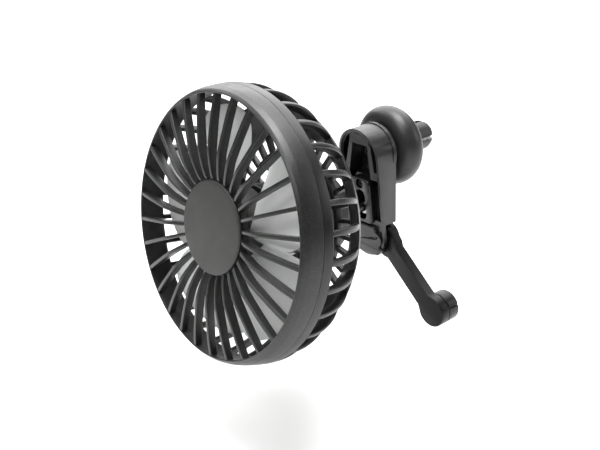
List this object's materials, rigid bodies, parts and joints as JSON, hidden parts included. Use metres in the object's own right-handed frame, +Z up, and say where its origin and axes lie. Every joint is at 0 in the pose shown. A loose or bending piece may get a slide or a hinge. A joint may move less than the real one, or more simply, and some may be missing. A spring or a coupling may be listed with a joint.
{
  "type": "car vent fan",
  "caption": "Small car vent fan: a round caged fan head on a ball joint, a hollow arm, a screw clamp with split prongs for a vent slat and a swing-out prop leg.",
  "frame": {"origin": "on the clamp's axis, in the middle of the prongs where a vent slat is gripped", "axes": "+Z up, +Y into the vent along the clamp's axis, +X to the right seen from the front; the fan blows towards -Y"},
  "size_m": [0.11, 0.1286, 0.1134],
  "materials": {
    "guard_plastic": "fine satin charcoal moulding",
    "badge_plastic": "satin disc with a soft metallic sheen",
    "cage_plastic": "satin black moulding",
    "rotor_plastic": "pearl silver gloss",
    "steel": "plated steel",
    "endcap_plastic": "matte black",
    "lead_red": "red wire jacket",
    "lead_black": "black wire jacket",
    "board": "green solder mask",
    "switch_plastic": "black switch housing",
    "button_plastic": "satin charcoal",
    "pod_plastic": "satin black moulding",
    "liner_plastic": "natural acetal",
    "arm_plastic": "satin black moulding",
    "cover_plastic": "satin charcoal",
    "collet_plastic": "satin charcoal",
    "nut_plastic": "smooth satin charcoal",
    "ring_plastic": "grey acetal",
    "leg_plastic": "matte black moulding",
    "pad_rubber": "soft black rubber"
  },
  "bodies": {
    "mount": {"arm_shell": "arm_plastic", "socket_cover": "cover_plastic", "cover_screw": "steel", "clamp_collet": "collet_plastic", "clamp_washer": "steel", "clamp_screw": "steel", "leg_screw": "steel"},
    "liner": {"ball_liner": "liner_plastic"},
    "stud": {"ball_stud": "steel", "stud_nut": "steel"},
    "head": {"front_guard": "guard_plastic", "badge_disc": "badge_plastic", "rear_cage": "cage_plastic", "motor_can": "steel", "motor_endcap": "endcap_plastic", "motor_screw_1": "steel", "motor_screw_2": "steel", "motor_lead_red": "lead_red", "motor_lead_black": "lead_black", "control_board": "board", "tact_switch": "switch_plastic", "usb_inlet": "steel", "pod_shell": "pod_plastic", "pod_screw_1": "steel", "pod_screw_2": "steel", "pod_screw_3": "steel", "pod_screw_4": "steel"},
    "rotor": {"fan_rotor": "rotor_plastic", "motor_shaft": "steel"},
    "button": {"speed_button": "button_plastic"},
    "ring": {"nut_ring": "ring_plastic"},
    "nut": {"clamp_nut": "nut_plastic"},
    "leg": {"support_leg": "leg_plastic", "foot_pad": "pad_rubber", "leg_washer": "steel"}
  },
  "joints": [
    {"name": "head_yaw", "type": "hinge", "parent": "mount", "child": "liner", "pos_m": [0, -0.0282, -0.0252], "axis": [0, 0, 1], "range_deg": [-12, 12]},
    {"name": "head_pitch", "type": "hinge", "parent": "liner", "child": "stud", "pos_m": [0, -0.0282, -0.0252], "axis": [1, 0, 0], "range_deg": [-25, 30]},
    {"name": "head_roll", "type": "hinge", "parent": "stud", "child": "head", "pos_m": [0, -0.0282, -0.0252], "axis": [0, 0.982, -0.1891], "range_deg": [-180, 180]},
    {"name": "rotor_spin", "type": "hinge", "parent": "head", "child": "rotor", "pos_m": [0, -0.09988, -0.0114], "axis": [0, -0.982, 0.1891], "continuous": true},
    {"name": "button_press", "type": "slide", "parent": "head", "child": "button", "axis": [0, -0.1891, -0.982], "range_m": [0, 0.0005], "stiffness_N_per_m": 800, "springref_m": -0.0008},
    {"name": "nut_travel", "type": "slide", "parent": "mount", "child": "ring", "axis": [0, 1, 0], "range_m": [0, 0.003]},
    {"name": "nut_turn", "type": "hinge", "parent": "ring", "child": "nut", "pos_m": [0, -0.0149, 0], "axis": [0, 1, 0], "range_deg": [0, 720]},
    {"name": "leg_swing", "type": "hinge", "parent": "mount", "child": "leg", "pos_m": [0.0072, -0.0252, -0.0382], "axis": [0, 1, 0], "range_deg": [-45, 80]}
  ],
  "couplings": [
    {"joint": "nut_travel", "follows": "nut_turn", "m_per_rad": 0.00023873}
  ]
}
